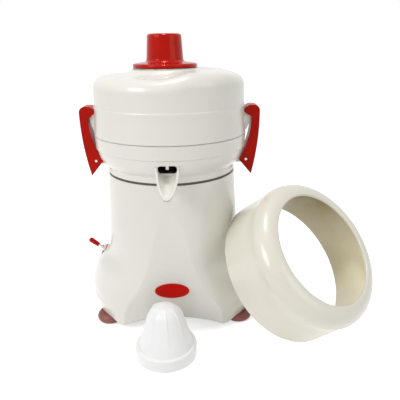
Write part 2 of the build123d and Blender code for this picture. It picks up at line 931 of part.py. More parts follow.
# Sieve basket: a slotted sheet cone with a clamped hub
with BuildPart() as basket:
    with BuildSketch(Plane.XZ):
        with BuildLine():
            Polyline(
                (shaft_neck_r + press_gap, basket_floor_z - basket_hub_drop),
                (basket_hub_r, basket_floor_z - basket_hub_drop),
                (basket_hub_r, basket_floor_z),
                (basket_floor_r, basket_floor_z),
                (basket_rim_r, basket_rim_z - basket_sheet),
                (basket_rim_r + basket_lip, basket_rim_z - basket_sheet),
                (basket_rim_r + basket_lip, basket_rim_z),
                (basket_rim_r - basket_sheet, basket_rim_z),
                (basket_floor_r - basket_sheet, grater_bottom),
                (shaft_neck_r + press_gap, grater_bottom),
                close=True,
            )
        make_face()
    revolve(axis=Axis.Z)
    row_step = (basket_height - basket_lip) / slot_rows
    with Locations(*[(0, 0, basket_floor_z + row_step * (row + 0.5)) for row in range(slot_rows)]):
        with PolarLocations((basket_floor_r + basket_rim_r) / 2, slots_per_row):
            Box(basket_rim_r - basket_hub_r, slot_width, slot_height, mode=Mode.SUBTRACT)
save(basket, "basket")

# Grater disc with rings of pyramid teeth
with BuildPart() as grater:
    ring(shaft_neck_r + press_gap, basket_floor_r - grater_in, grater_bottom, grater_top)
    with BuildSketch(Plane.XY.offset(grater_top)):
        for row in range(grater_rings):
            row_r = grater_first_ring_r + grater_ring_step * row
            with PolarLocations(row_r, round(2 * pi * row_r / grater_tooth_spacing)):
                RegularPolygon(grater_tooth_r, 4)
    extrude(amount=grater_tooth, taper=grater_tooth_draft)
save(grater, "grater")

with BuildPart() as basket_nut:
    with BuildSketch(Plane.XY.offset(grater_top)):
        RegularPolygon(nut_across_flats / 2, 6, major_radius=False)
        Circle(shaft_thread_r + press_gap, mode=Mode.SUBTRACT)
    extrude(amount=nut_height)
    chamfer(basket_nut.faces().sort_by(Axis.Z)[-1].outer_wire().edges(), length=nut_chamfer)
save(basket_nut, "basket_nut")


# Lid: a turned drum under a crowned roof whose right side is raised, with a flared neck
def roof_point(x, y):
    """A point of the roof: crowned, and raised to the right of a line that swings round the neck."""
    swing = hump_swing * smooth((y + hump_front) / hump_front_run)
    back = hump_return * smooth((y - hump_back) / hump_back_run)
    rise = smooth((x - hump_line_x - swing + back + hump_offset) / hump_slope)
    fall = lid_fall * (max(0.0, x - lid_fall_x) / (lid_r - lid_fall_x)) ** 2
    crown = lid_crown * (hypot(x, y) / lid_r) ** 2
    return Vector(x, y, lid_top + hump_height * rise - fall - crown)


roof_half = lid_r + roof_margin
roof_steps = [roof_half * (2 * index / (roof_grid - 1) - 1) for index in range(roof_grid)]
roof_points = [[roof_point(x, y) for y in roof_steps] for x in roof_steps]
roof = Face.make_surface_from_array_of_points(roof_points)
ridge_z = seam + lid_ridge_rise
shoulder_z = seam + lid_shoulder_rise
shoulder_r = lid_r - lid_shoulder_in
lid_inner_r = lid_r - lid_wall
hook_drop = tan(radians(hook_slope))


def ear_top(x):
    """Height of the ears' sloping top, just under the hooks."""
    return latch_hook_z - (x - latch_hook_x) * hook_drop - hook_gap / cos(radians(hook_slope))


with BuildPart() as lid:
    with BuildSketch(Plane.XZ):
        with BuildLine():
            ridge_r = lid_r - lid_ridge_in
            drum = Polyline(
                (0, lid_bottom),
                (lid_r, lid_bottom),
                (ridge_r, ridge_z - lid_ridge_groove),
            )
            groove = SagittaArc(drum @ 1, (ridge_r, ridge_z + lid_ridge_groove), lid_ridge_groove)
            Polyline(
                groove @ 1,
                (shoulder_r, shoulder_z),
                (shoulder_r - lid_shoulder_lean, lid_top + lid_blank_over),
                (0, lid_top + lid_blank_over),
                (0, lid_bottom),
            )
        make_face()
    revolve(axis=Axis.Z)
    extrude(roof, amount=2 * lid_blank_over, dir=(0, 0, 1), mode=Mode.SUBTRACT)
    roof_rim = [
        edge
        for edge in lid.edges()
        if edge.center().Z > shoulder_z and edge.length > lid_corner_r
    ]
    fillet(roof_rim, radius=lid_corner_r)
    with BuildSketch(Plane.XZ.offset(-chute_y)):
        with BuildLine():
            flare_z = lid_top - lid_crown - neck_sink
            sleeve = Polyline(
                (chute_x + neck_r + neck_flare, flare_z),
                (chute_x, flare_z),
                (chute_x, neck_top),
                (chute_x + neck_r, neck_top),
                (chute_x + neck_r, neck_top - neck_band),
            )
            TangentArc(sleeve @ 1, sleeve @ 0, tangent=(0, -1))
        make_face()
    revolve(axis=Axis((chute_x, chute_y, 0), (0, 0, 1)))
    with BuildSketch(Plane.XZ):
        for side in (1, -1):
            ear_root_x = lid_r - ear_root_in
            ear_x = lid_r + ear_out
            Polygon(
                (side * ear_root_x, seam + ear_foot_rise),
                (side * (lid_r + ear_foot_out), seam + ear_foot_rise),
                (side * ear_x, seam + ear_waist_rise),
                (side * ear_x, ear_top(ear_x)),
                (side * ear_root_x, ear_top(ear_root_x)),
                align=None,
            )
    extrude(amount=ear_half_width, both=True)
    disc(bowl_inner_r - lid_spigot_gap, lid_bottom - lid_spigot, lid_bottom)
    with BuildSketch(Plane.XZ):
        with BuildLine():
            ceiling = lid_top - lid_crown - lid_roof
            inside = Polyline(
                (0, ceiling),
                (0, lid_bottom - lid_spigot),
                (lid_inner_r, lid_bottom - lid_spigot),
                (lid_inner_r, ceiling - lid_inner_round),
            )
            TangentArc(inside @ 1, (lid_inner_r - lid_inner_round, ceiling), tangent=(0, 1))
            Line((lid_inner_r - lid_inner_round, ceiling), (0, ceiling))
        make_face()
    revolve(axis=Axis.Z, mode=Mode.SUBTRACT)
    with BuildSketch(Plane.XY.offset(neck_top)):
        with Locations((chute_x, chute_y)):
            Circle(tube_r + press_gap)
    extrude(amount=-neck_height - lid_roof - lid_crown - cut_over, mode=Mode.SUBTRACT)
save(lid, "lid")

# Feed tube, fixed in the lid's neck
tube_top = neck_top - pusher_seat_gap
tube_bottom = basket_floor_z + tube_rise
with BuildPart() as feed_tube:
    with BuildSketch(Plane.XY.offset(tube_bottom)):
        with Locations((chute_x, chute_y)):
            Circle(tube_r)
            Circle(tube_r - tube_wall, mode=Mode.SUBTRACT)
    extrude(amount=tube_top - tube_bottom)
save(feed_tube, "feed_tube")

# Pusher: knob, flange and hollow plunger in one moulding, closed below by a disc
chute_axis = Axis((chute_x, chute_y, 0), (0, 0, 1))
chute_section = Plane(origin=(chute_x, chute_y, 0), x_dir=(1, 0, 0), z_dir=(0, -1, 0))
plunger_r = tube_r - tube_wall - pusher_gap
plunger_bottom = neck_top - plunger_length
flange_top = neck_top + pusher_flange_height
knob_top = flange_top + knob_height
with BuildPart() as pusher:
    with BuildSketch(chute_section):
        with BuildLine():
            Polyline(
                (0, plunger_bottom),
                (plunger_r, plunger_bottom),
                (plunger_r, neck_top),
                (pusher_flange_r, neck_top),
                (pusher_flange_r, flange_top),
                (knob_base_r, flange_top),
                (knob_top_r, knob_top),
                (0, knob_top),
                close=True,
            )
        make_face()
    revolve(axis=chute_axis)
    fillet(pusher.edges().filter_by(GeomType.CIRCLE).group_by(Axis.Z)[-1], radius=knob_round)
    rims = pusher.edges().filter_by(GeomType.CIRCLE)
    flange_rims = [edge for edge in rims if edge.radius == pusher_flange_r]
    fillet(flange_rims, radius=pusher_flange_round)
    with BuildSketch(chute_section):
        with BuildLine():
            bore_r = plunger_r - plunger_wall
            grip_r = knob_top_r - plunger_wall
            Polyline(
                (0, plunger_bottom),
                (bore_r, plunger_bottom),
                (bore_r, neck_top),
                (grip_r, flange_top - plunger_wall),
                (grip_r, knob_top - knob_round - plunger_wall),
                (0, knob_top - plunger_wall),
                close=True,
            )
        make_face()
    revolve(axis=chute_axis, mode=Mode.SUBTRACT)
save(pusher, "pusher")

with BuildPart() as pusher_cap:
    with BuildSketch(Plane.XY.offset(plunger_bottom)):
        with Locations((chute_x, chute_y)):
            Circle(plunger_r - plunger_wall - press_gap)
    extrude(amount=plunger_cap)
save(pusher_cap, "pusher_cap")


# Side latches: a curved arm with a hook above and two cheeks round the bowl's lug
def latch_arm(side):
    """One latch, on the right for side 1 and on the left for side -1."""

    def at(out, rise):
        return (side * (lid_r + out), seam + rise)

    hook_foot_rise = latch_hook_rise - (latch_inner_out + latch_hook_in) * hook_drop
    reach = lug_end_r + slot_clearance
    slot_x = side * (latch_pivot_x + reach * cos(pi / 6))
    slot_root_x = side * (column_top_r - lug_root_in)
    slot_low = latch_pivot_z - latch_tail_drop
    with BuildPart() as arm:
        with BuildSketch(Plane.XZ):
            with BuildLine():
                flank = ThreePointArc(
                    at(latch_tail_out, -latch_tail_drop),
                    at(latch_flank_out, -latch_flank_drop),
                    at(latch_outer_out, latch_outer_rise),
                )
                Polyline(
                    flank @ 1,
                    at(latch_outer_out - latch_hook_height, latch_top_rise),
                    at(latch_outer_out - latch_hook_height - latch_top_flat, latch_top_rise),
                    at(-latch_hook_in, latch_hook_rise + latch_hook_height),
                    at(-latch_hook_in, latch_hook_rise),
                    at(latch_inner_out, hook_foot_rise),
                )
                inner = ThreePointArc(
                    at(latch_inner_out, hook_foot_rise),
                    at(latch_waist_in, -latch_waist_drop),
                    at(-latch_heel_in, -latch_heel_drop),
                )
                Line(inner @ 1, flank @ 0)
            make_face()
        extrude(amount=latch_half_width, both=True)
        fillet(arm.edges().filter_by(Axis.Y).group_by(Axis.Z)[-1], radius=latch_round)
        with BuildSketch(Plane.XZ):
            with Locations((side * latch_pivot_x, latch_pivot_z)):
                Circle(reach)
            Polygon(
                (side * latch_pivot_x, latch_pivot_z + reach),
                (slot_x, latch_pivot_z - reach * sin(pi / 6)),
                (side * latch_pivot_x, slot_low),
                (slot_root_x, slot_low),
                (slot_root_x, latch_pivot_z + reach),
                align=None,
            )
        extrude(amount=ear_half_width, both=True, mode=Mode.SUBTRACT)
        with BuildSketch(Plane.XZ):
            with Locations((side * latch_pivot_x, latch_pivot_z)):
                Circle(latch_pin_r + latch_pin_gap)
        extrude(amount=latch_half_width, both=True, mode=Mode.SUBTRACT)
    return arm


latch_right = latch_arm(1)
save(latch_right, "latch_right")

latch_left = latch_arm(-1)
save(latch_left, "latch_left")

with BuildPart() as latch_pins:
    with BuildSketch(Plane.XZ):
        with Locations((latch_pivot_x, latch_pivot_z), (-latch_pivot_x, latch_pivot_z)):
            Circle(latch_pin_r)
    extrude(amount=latch_half_width - latch_pin_end, both=True)
save(latch_pins, "latch_pins")

# Toggle switch: body behind the wall, threaded barrel, plate and nut in front
with BuildPart() as switch_body:
    with BuildSketch(switch_place.offset(switch_top)):
        Rectangle(switch_body_width, switch_body_length)
    extrude(amount=-switch_body_depth)
save(switch_body, "switch_body")

with BuildPart() as switch_barrel:
    with BuildSketch(switch_place.offset(switch_top)):
        Circle(switch_barrel_r)
    extrude(amount=switch_barrel_out - switch_top)
    with BuildSketch(switch_place):
        Circle(switch_bore_r)
    extrude(amount=switch_barrel_out, mode=Mode.SUBTRACT)
save(switch_barrel, "switch_barrel")

with BuildPart() as switch_plate:
    with BuildSketch(switch_place):
        Circle(switch_plate_r)
        Circle(switch_barrel_r + press_gap, mode=Mode.SUBTRACT)
    extrude(amount=switch_plate_sheet)
save(switch_plate, "switch_plate")

with BuildPart() as switch_nut:
    with BuildSketch(switch_place.offset(switch_plate_sheet)):
        RegularPolygon(switch_nut_flats / 2, 6, major_radius=False)
        Circle(switch_barrel_r + press_gap, mode=Mode.SUBTRACT)
    extrude(amount=switch_nut_height)
save(switch_nut, "switch_nut")

# Lever on its ball, standing up at rest, and the sleeve on its end
lever_up = radians(switch_tilt + lever_rest)
lever_place = Plane(
    origin=switch_origin + switch_normal * (switch_barrel_out - switch_pivot_sink),
    x_dir=(0, 1, 0),
    z_dir=(-cos(lever_up), 0, sin(lever_up)),
)
with BuildPart() as toggle_lever:
    with Locations(lever_place):
        Sphere(switch_ball_r)
    with BuildSketch(lever_place):
        Circle(lever_r)
    extrude(amount=lever_length)
    with BuildSketch(Plane(origin=lever_place.origin, x_dir=lever_place.z_dir, z_dir=(0, -1, 0))):
        Circle(trunnion_r)
    extrude(amount=trunnion_half, both=True)
save(toggle_lever, "toggle_lever")

lever_section = Plane(origin=lever_place.origin, x_dir=lever_place.z_dir, z_dir=(0, -1, 0))
with BuildPart() as lever_cap:
    with BuildSketch(lever_section):
        with BuildLine():
            cap_end = cap_start + cap_length
            bore = lever_r + press_gap
            sleeve = Polyline(
                (cap_end, 0),
                (lever_length, 0),
                (lever_length, bore),
                (cap_start, bore),
                (cap_start, cap_r - cap_draft),
                (cap_end - cap_r, cap_r),
            )
            TangentArc(sleeve @ 1, sleeve @ 0, tangent=(1, 0))
        make_face()
    revolve(axis=Axis(lever_place.origin, lever_place.z_dir))
save(lever_cap, "lever_cap")

# Citrus reamer: a fluted cone on a flange, hollow below, with a blind socket for the shaft
def fluted_face(radius, z, depth):
    """The reamer's outline at a height, with flutes of a depth."""
    points = []
    for index in range(reamer_flutes * flute_points):
        turn = 2 * pi * index / (reamer_flutes * flute_points)
        valley = (0.5 + 0.5 * cos(reamer_flutes * turn)) ** 2
        points.append(((radius - depth * valley) * cos(turn), (radius - depth * valley) * sin(turn)))
    with BuildSketch(Plane(origin=(reamer_x, reamer_y, z))) as outline:
        with BuildLine():
            Spline(*points, periodic=True)
        make_face()
    return outline.sketch


reamer_faces = []
for index in range(cone_sections):
    share = index / cone_sections
    cone_r = reamer_cone_r + (reamer_shoulder_r - reamer_cone_r) * share
    cone_z = reamer_flange_height + (reamer_shoulder_z - reamer_flange_height) * share
    flute = reamer_flute_depth * smooth(2 * (1 - share))
    reamer_faces.append(fluted_face(cone_r + 4 * reamer_belly * share * (1 - share), cone_z, flute))
crown_height = reamer_height - reamer_shoulder_z
crown_r = (reamer_shoulder_r**2 + crown_height**2) / (2 * crown_height)
crown_angle = asin(reamer_shoulder_r / crown_r)
for index in range(cone_sections):
    angle = crown_angle * (1 - index / (cone_sections - 0.5))
    reamer_faces.append(fluted_face(crown_r * sin(angle), reamer_height - crown_r * (1 - cos(angle)), 0.0))
reamer_axis = Axis((reamer_x, reamer_y, 0), (0, 0, 1))
reamer_section = Plane(origin=(reamer_x, reamer_y, 0), x_dir=(1, 0, 0), z_dir=(0, -1, 0))
with BuildPart() as reamer:
    with BuildSketch(reamer_section):
        with BuildLine():
            brim_z = reamer_flange_height - reamer_flange_round
            brim = Polyline((0, 0), (reamer_flange_r, 0), (reamer_flange_r, brim_z))
            brim_edge = TangentArc(
                brim @ 1,
                (reamer_flange_r - reamer_flange_round, reamer_flange_height),
                tangent=(0, 1),
            )
            Polyline(brim_edge @ 1, (0, reamer_flange_height), (0, 0))
        make_face()
    revolve(axis=reamer_axis)
    loft(reamer_faces)
    with BuildSketch(reamer_section):
        with BuildLine():
            Polyline(
                (0, 0),
                (reamer_flange_r - reamer_wall, 0),
                (reamer_flange_r - 2 * reamer_wall, reamer_flange_height - reamer_wall),
                (reamer_hollow_top_r, reamer_hollow_top_z),
                (reamer_socket_r, reamer_hollow_top_z),
                (reamer_socket_r, reamer_socket_top),
                (0, reamer_socket_top),
                close=True,
            )
        make_face()
    revolve(axis=reamer_axis, mode=Mode.SUBTRACT)
save(reamer, "reamer")

# Citrus collar, tipped on its wide rim and leaning on the casting
collar_axis = Vector(
    cos(radians(collar_lean)) * cos(radians(collar_turn)),
    cos(radians(collar_lean)) * sin(radians(collar_turn)),
    sin(radians(collar_lean)),
)
collar_side = Vector(0, 0, 1).cross(collar_axis).normalized()
collar_rise = collar_axis.cross(collar_side)


def collar_centre(distance):
    """Centre of the collar's wide rim at a distance from the shaft, with the rim on the counter."""
    bearing = radians(collar_bearing)
    height = collar_r * cos(radians(collar_lean))
    return Vector(distance * cos(bearing), distance * sin(bearing), height)


def collar_gap(distance):
    """Least gap between the collar's wide rim and the casting."""
    gaps = []
    for step in range(rim_steps):
        turn = 2 * pi * step / rim_steps
        spoke = collar_side * cos(turn) + collar_rise * sin(turn)
        rim = collar_centre(distance) + spoke * collar_r
        gaps.append(hypot(rim.X, rim.Y) - bell_radius(rim.Z))
    return min(gaps)


near = lobe_r
far = lobe_r + 2 * collar_r
for halving in range(halvings):
    middle = (near + far) / 2
    if collar_gap(middle) < collar_clearance:
        near = middle
    else:
        far = middle
collar_foot = collar_centre(far)
with BuildPart() as collar:
    with BuildSketch(Plane(origin=collar_foot, x_dir=collar_side, z_dir=collar_side.cross(collar_axis))):
        with BuildLine():
            lip_r = collar_hole_r + collar_wall / 2
            band_r = collar_r - lid_ridge_in
            skirt = Line((collar_r, 0), (band_r, collar_band))
            hollow = SagittaArc(skirt @ 1, (band_r, collar_straight), collar_hollow)
            shoulder = TangentArc(hollow @ 1, (lip_r, collar_height), tangent=(0, 1))
            rim = ThreePointArc(
                shoulder @ 1,
                (collar_hole_r, collar_height - collar_wall / 2),
                (lip_r, collar_height - collar_wall),
            )
            inner_skirt = Polyline(
                (collar_r - collar_wall, 0),
                (band_r - collar_wall, collar_band),
                (band_r - collar_wall, collar_straight),
            )
            TangentArc(inner_skirt @ 1, rim @ 1, tangent=(0, 1))
            Line(skirt @ 0, inner_skirt @ 0)
        make_face()
    revolve(axis=Axis(collar_foot, collar_axis))
save(collar, "collar")
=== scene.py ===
# %% [markdown]
# # A countertop juice extractor
# The real machine is a commercial extractor in cream enamelled cast metal. Red mouldings close it and feed
# it, and its white reamer and cream citrus collar lie beside it. The construction comes ready from the
# imported CAD model, so this lesson adds what a camera sees: finishes, a few softer forms, light and a view.
# First the model is loaded.

# %% Load the imported model
from math import cos, pi, radians, sin

import bmesh
import bpy
from mathutils import Matrix, Vector
from mathutils.bvhtree import BVHTree
from mathutils.geometry import interpolate_bezier


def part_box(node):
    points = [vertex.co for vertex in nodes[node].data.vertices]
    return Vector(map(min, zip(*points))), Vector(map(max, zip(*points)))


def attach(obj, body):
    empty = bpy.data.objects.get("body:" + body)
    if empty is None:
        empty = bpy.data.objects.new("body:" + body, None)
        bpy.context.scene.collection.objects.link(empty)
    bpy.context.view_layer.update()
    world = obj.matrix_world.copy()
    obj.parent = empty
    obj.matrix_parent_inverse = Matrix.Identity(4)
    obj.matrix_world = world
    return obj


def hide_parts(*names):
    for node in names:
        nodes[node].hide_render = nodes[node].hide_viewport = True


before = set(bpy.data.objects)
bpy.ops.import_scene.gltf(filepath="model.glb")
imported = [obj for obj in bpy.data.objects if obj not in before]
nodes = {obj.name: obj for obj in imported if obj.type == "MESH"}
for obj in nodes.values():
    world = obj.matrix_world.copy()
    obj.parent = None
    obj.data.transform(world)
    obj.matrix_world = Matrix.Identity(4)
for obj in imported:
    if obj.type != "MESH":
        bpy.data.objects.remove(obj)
scene = bpy.context.scene
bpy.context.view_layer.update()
shaft_foot = Vector((-0.0814, 0.0368, 0))

# %% [markdown]
# ## The view
# The photograph was taken from a little above the lid, from about two thirds of a metre in front of the
# column. A camera can be aimed with a constraint, but here the exact tilt matters, so its three axes are
# worked out from the turn, the pitch and the small roll, and set as one matrix.

# %% Camera
camera_place = shaft_foot + Vector((0.03809, -0.67746, 0.41550))
camera_turn = radians(0.41)
camera_pitch = radians(19.288)
camera_roll = radians(-0.691)
image_width = 400
focal_pixels = 452.8
sensor_width = 36
nearest_seen = 0.01

level_ahead = Vector((sin(camera_turn), cos(camera_turn), 0))
level_right = Vector((cos(camera_turn), -sin(camera_turn), 0))
ahead = cos(camera_pitch) * level_ahead - Vector((0, 0, sin(camera_pitch)))
level_up = level_right.cross(ahead)
right = cos(camera_roll) * level_right + sin(camera_roll) * level_up
up = right.cross(ahead)

camera_data = bpy.data.cameras.new("view")
camera_data.sensor_width = sensor_width
camera_data.lens = focal_pixels / image_width * sensor_width
camera_data.clip_start = nearest_seen
camera = bpy.data.objects.new("view", camera_data)
camera.matrix_world = Matrix.Translation(camera_place) @ Matrix((right, up, -ahead)).transposed().to_4x4()
scene.collection.objects.link(camera)
scene.camera = camera
print("lens", round(camera_data.lens, 2), "mm")

# %% [markdown]
# ## Nodes in one line each
# Every finish below is a shader tree. A tree can be built by hand in the shader editor, but in a script the
# same few moves repeat: make a node, set its constants, link its inputs. One helper does all three, so that
# each finish reads like a recipe. Most of a noise lies in the middle of its range, so what is made from one
# is stretched from that part.

# %% Shader helpers
noise_detail = 2
wide_middle = (0.2, 0.8)
middle_part = (0.3, 0.7)


def new_material(name):
    """A material with an empty tree, its tree and its output."""
    material = bpy.data.materials.new(name)
    material.use_nodes = True
    tree = material.node_tree
    tree.nodes.clear()
    return material, tree, tree.nodes.new("ShaderNodeOutputMaterial")


def feed(tree, socket, value):
    """Give an input a constant, or link it to another node's socket."""
    if isinstance(value, bpy.types.NodeSocket):
        tree.links.new(value, socket)
    else:
        socket.default_value = value


def add(tree, kind, settings=(), **inputs):
    """A shader node. An input is a constant or another node's socket; _ stands for a space in its name."""
    node = tree.nodes.new("ShaderNode" + kind)
    for name, value in dict(settings).items():
        setattr(node, name, value)
    for name, value in inputs.items():
        feed(tree, node.inputs[name.replace("_", " ")], value)
    return node


def maths(tree, operation, first, second):
    """One sum on two numbers, each a constant or a socket."""
    node = add(tree, "Math", {"operation": operation})
    feed(tree, node.inputs[0], first)
    feed(tree, node.inputs[1], second)
    return node.outputs["Value"]


def vectors(tree, operation, first, second=(0, 0, 0)):
    """One sum on two vectors, each a constant or a socket. The node has a vector and a value to give."""
    node = add(tree, "VectorMath", {"operation": operation})
    feed(tree, node.inputs[0], first)
    feed(tree, node.inputs[1], second)
    return node.outputs


def blend(tree, share, first, second):
    """Two shaders mixed by a share from 0 to 1."""
    node = add(tree, "MixShader", Fac=share)
    feed(tree, node.inputs[1], first)
    feed(tree, node.inputs[2], second)
    return node.outputs["Shader"]


def span(tree, value, low, high, start=0.0, end=1.0):
    """Stretch a part of a value's range to new limits, and hold it there."""
    node = add(tree, "MapRange", Value=value, From_Min=low, From_Max=high, To_Min=start, To_Max=end)
    return node.outputs["Result"]


def clouds(tree, width, stretch=(1, 1, 1)):
    """Soft noise that stays with the piece. The width of a cloud is in millimetres."""
    place = add(tree, "TexCoord")
    drawn = add(tree, "Mapping", Vector=place.outputs["Object"], Scale=stretch)
    noise = add(tree, "TexNoise", Vector=drawn.outputs["Vector"], Scale=1000 / width, Detail=noise_detail)
    return noise.outputs["Fac"]


def seen_directly(tree):
    """1 for rays from the camera or from a mirror-like or clear surface, otherwise 0."""
    path = add(tree, "LightPath")
    either = maths(tree, "MAXIMUM", path.outputs["Is Camera Ray"], path.outputs["Is Glossy Ray"])
    return maths(tree, "MAXIMUM", either, path.outputs["Is Transmission Ray"])


print("helpers ready")

# %% [markdown]
# ## White paper all round
# The photograph is a white product shot, with pale paper behind the machine. A world as bright as that
# would also bleach the object with its light. The Light Path node parts the two: the camera and mirror-like
# surfaces see white, and the object is lit by a moderate sky. The Standard view transform shows colours as
# they are written.

# %% World
sky_colour = (0.97, 0.98, 1.0, 1)
sky_strength = 0.42
white = (1, 1, 1, 1)
white_strength = 1.0
scene.view_settings.view_transform = "Standard"
world = bpy.data.worlds.new("studio")
scene.world = world
world.use_nodes = True
sky = world.node_tree
sky.nodes.clear()
soft_fill = add(sky, "Background", Color=sky_colour, Strength=sky_strength)
white_paper = add(sky, "Background", Color=white, Strength=white_strength)
paper_mix = blend(sky, seen_directly(sky), soft_fill.outputs[0], white_paper.outputs[0])
add(sky, "OutputWorld", Surface=paper_mix)
print("world", world.name)

# %% [markdown]
# ## The floor
# The machine stands on the same paper. A wide plane is enough, with the faint clouds that real paper has. A
# glow that only the camera and mirror-like surfaces see lifts it to white, so it still takes the object's
# shadow and throws no more light back than plain paper does.

# %% Paper floor
floor_size = 40
floor_drop = 0.0005
paper_cloud = 90
paper_dark = 0.925
paper_light = 0.945
paper_roughness = 0.9
paper_glow = 0.62
bpy.ops.mesh.primitive_plane_add(size=floor_size, location=(0, 0, -floor_drop))
floor = bpy.context.object
floor.name = "paper_floor"
paper, paper_tree, paper_output = new_material("white_paper")
paper_tone = span(paper_tree, clouds(paper_tree, paper_cloud), *wide_middle, paper_dark, paper_light)
matt = add(paper_tree, "BsdfPrincipled", Base_Color=paper_tone, Roughness=paper_roughness).outputs["BSDF"]
glow = add(paper_tree, "Emission", Strength=paper_glow).outputs["Emission"]
lit = add(paper_tree, "AddShader")
feed(paper_tree, lit.inputs[0], matt)
feed(paper_tree, lit.inputs[1], glow)
shown = blend(paper_tree, seen_directly(paper_tree), matt, lit.outputs["Shader"])
feed(paper_tree, paper_output.inputs["Surface"], shown)
floor.data.materials.append(paper)
print("floor", floor.name)

# %% [markdown]
# ## The lamps
# Broad soft light falls on the machine from both sides and from above. A sun or a point lamp would give
# hard shadows. Area lamps don't, and the larger one is, the softer are the edges of its highlights. All
# three are turned to one point in the middle of the machine.

# %% Lamps
lamp_aim = Vector((0.03, 0, 0.22))


def soft_box(name, place, size, power):
    """A square area lamp turned to the machine. Its place is measured from the shaft's foot."""
    lamp = bpy.data.lights.new(name, "AREA")
    lamp.size = size
    lamp.energy = power
    box = bpy.data.objects.new(name, lamp)
    box.location = shaft_foot + Vector(place)
    box.rotation_euler = (lamp_aim - Vector(place)).to_track_quat("-Z", "Y").to_euler()
    scene.collection.objects.link(box)


soft_box("key_left", place=(-1.3, -1.2, 1.2), size=0.8, power=15)
soft_box("fill_right", place=(1.5, -1.1, 0.9), size=1.2, power=6)
soft_box("overhead", place=(-0.05, -0.15, 1.7), size=0.3, power=8)
print("lamps", [lamp.name for lamp in bpy.data.lights])

# %% [markdown]
# ## What every finish has in common
# A real surface is never one flat colour. Its tone drifts in soft clouds, its gloss drifts with them, a
# fine grain breaks the highlight, and its edges take another colour: rubbed wear, and on the cream
# enamel also a painted highlight. The Bevel node looks up to two millimetres round each point: where its
# softened normal leaves the true one there is an edge. That both rounds the edge to the eye and says where
# the edge colour goes, without touching the CAD mesh.

# %% The common recipe
edge_samples = 6
edge_starts = 0.995
edge_full = 0.85
patches_in_cloud = 6
patch_part = (0.4, 0.62)
gloss_swing = (0.9, 1.12)
rub_dulls = 0.2
relief_depth = 0.0003


def edge_of(tree, width):
    """How near an edge is, from 0 to 1, and the normal softened over that width in millimetres."""
    soft = add(tree, "Bevel", {"samples": edge_samples}, Radius=width / 1000).outputs["Normal"]
    true = add(tree, "NewGeometry").outputs["Normal"]
    agreement = vectors(tree, "DOT_PRODUCT", soft, true)["Value"]
    return span(tree, agreement, edge_starts, edge_full), soft


def finish(
    name, colour, mottle, cloud, roughness, grain, bump, edge_wear_and_highlight, wear_and_highlight_share, edge=0.8, stretch=(1, 1, 1), **shine
):
    """A procedural finish.

    Cloud, grain and edge are widths in millimetres. Mottle says how far the tone drifts. The edge colour is
    rubbed wear, and on the cream enamel also a painted highlight; its share says how much of it shows.
    """
    material, tree, output = new_material(name)
    drift = clouds(tree, cloud)
    fine = clouds(tree, grain, stretch)
    tint = add(tree, "ValToRGB", Fac=drift)
    dark, light = tint.color_ramp.elements
    dark.position, light.position = middle_part
    dark.color = (*[value * (1 - mottle) for value in colour], 1)
    light.color = (*[min(1, value * (1 + mottle / 2)) for value in colour], 1)
    near_edge, soft_normal = edge_of(tree, edge)
    patchy = span(tree, clouds(tree, cloud / patches_in_cloud), *patch_part, 0.0, wear_and_highlight_share)
    # Edge colour mask: rubbed wear, and on the cream enamel also a painted highlight.
    wear_and_highlight_mask = maths(tree, "MULTIPLY", near_edge, patchy)
    base = add(tree, "MixRGB", Fac=wear_and_highlight_mask, Color1=tint.outputs["Color"], Color2=(*edge_wear_and_highlight, 1))
    polish = span(tree, drift, *wide_middle, *[roughness * swing for swing in gloss_swing])
    duller = maths(tree, "ADD", polish, maths(tree, "MULTIPLY", wear_and_highlight_mask, rub_dulls))
    relief = add(tree, "Bump", Strength=bump, Distance=relief_depth, Height=fine, Normal=soft_normal)
    shader = add(
        tree,
        "BsdfPrincipled",
        Base_Color=base.outputs["Color"],
        Roughness=duller,
        Normal=relief.outputs["Normal"],
        **shine,
    )
    feed(tree, output.inputs["Surface"], shader.outputs["BSDF"])
    return material


def wear(material, *names):
    """Give a finish to CAD nodes."""
    for name in names:
        nodes[name].data.materials.clear()
        nodes[name].data.materials.append(material)
    print(material.name, "on", ", ".join(names))


print("recipe ready")

# %% [markdown]
# ## Cream enamel
# The castings are dipped and stoved, which leaves a thick glossy coat with a slight orange peel. Its edges
# are painted a little paler: partly rubbed enamel, partly a painted highlight where the edges catch the
# light. The spun collar has the same enamel, a shade warmer with age and darker on its edges.

# %% Enamel on castings and collar
# Paler edges on this enamel: partly rubbed wear, partly a painted highlight where the edges catch the light.
cream_enamel = finish(
    "cream_enamel", colour=(0.75, 0.735, 0.665), mottle=0.02, cloud=90,
    roughness=0.30, grain=3.5, bump=0.08,
    edge_wear_and_highlight=(0.84, 0.825, 0.76), wear_and_highlight_share=0.4, edge=2.0,
    Coat_Weight=0.35, Coat_Roughness=0.10,
)
cream_collar = finish(
    "cream_collar", colour=(0.74, 0.71, 0.61), mottle=0.03, cloud=90,
    roughness=0.30, grain=3.5, bump=0.08,
    edge_wear_and_highlight=(0.60, 0.55, 0.44), wear_and_highlight_share=0.5, edge=1.2,
    Coat_Weight=0.35, Coat_Roughness=0.10,
)
wear(cream_enamel, "base_housing", "bowl", "spout", "lid")
wear(cream_collar, "collar")
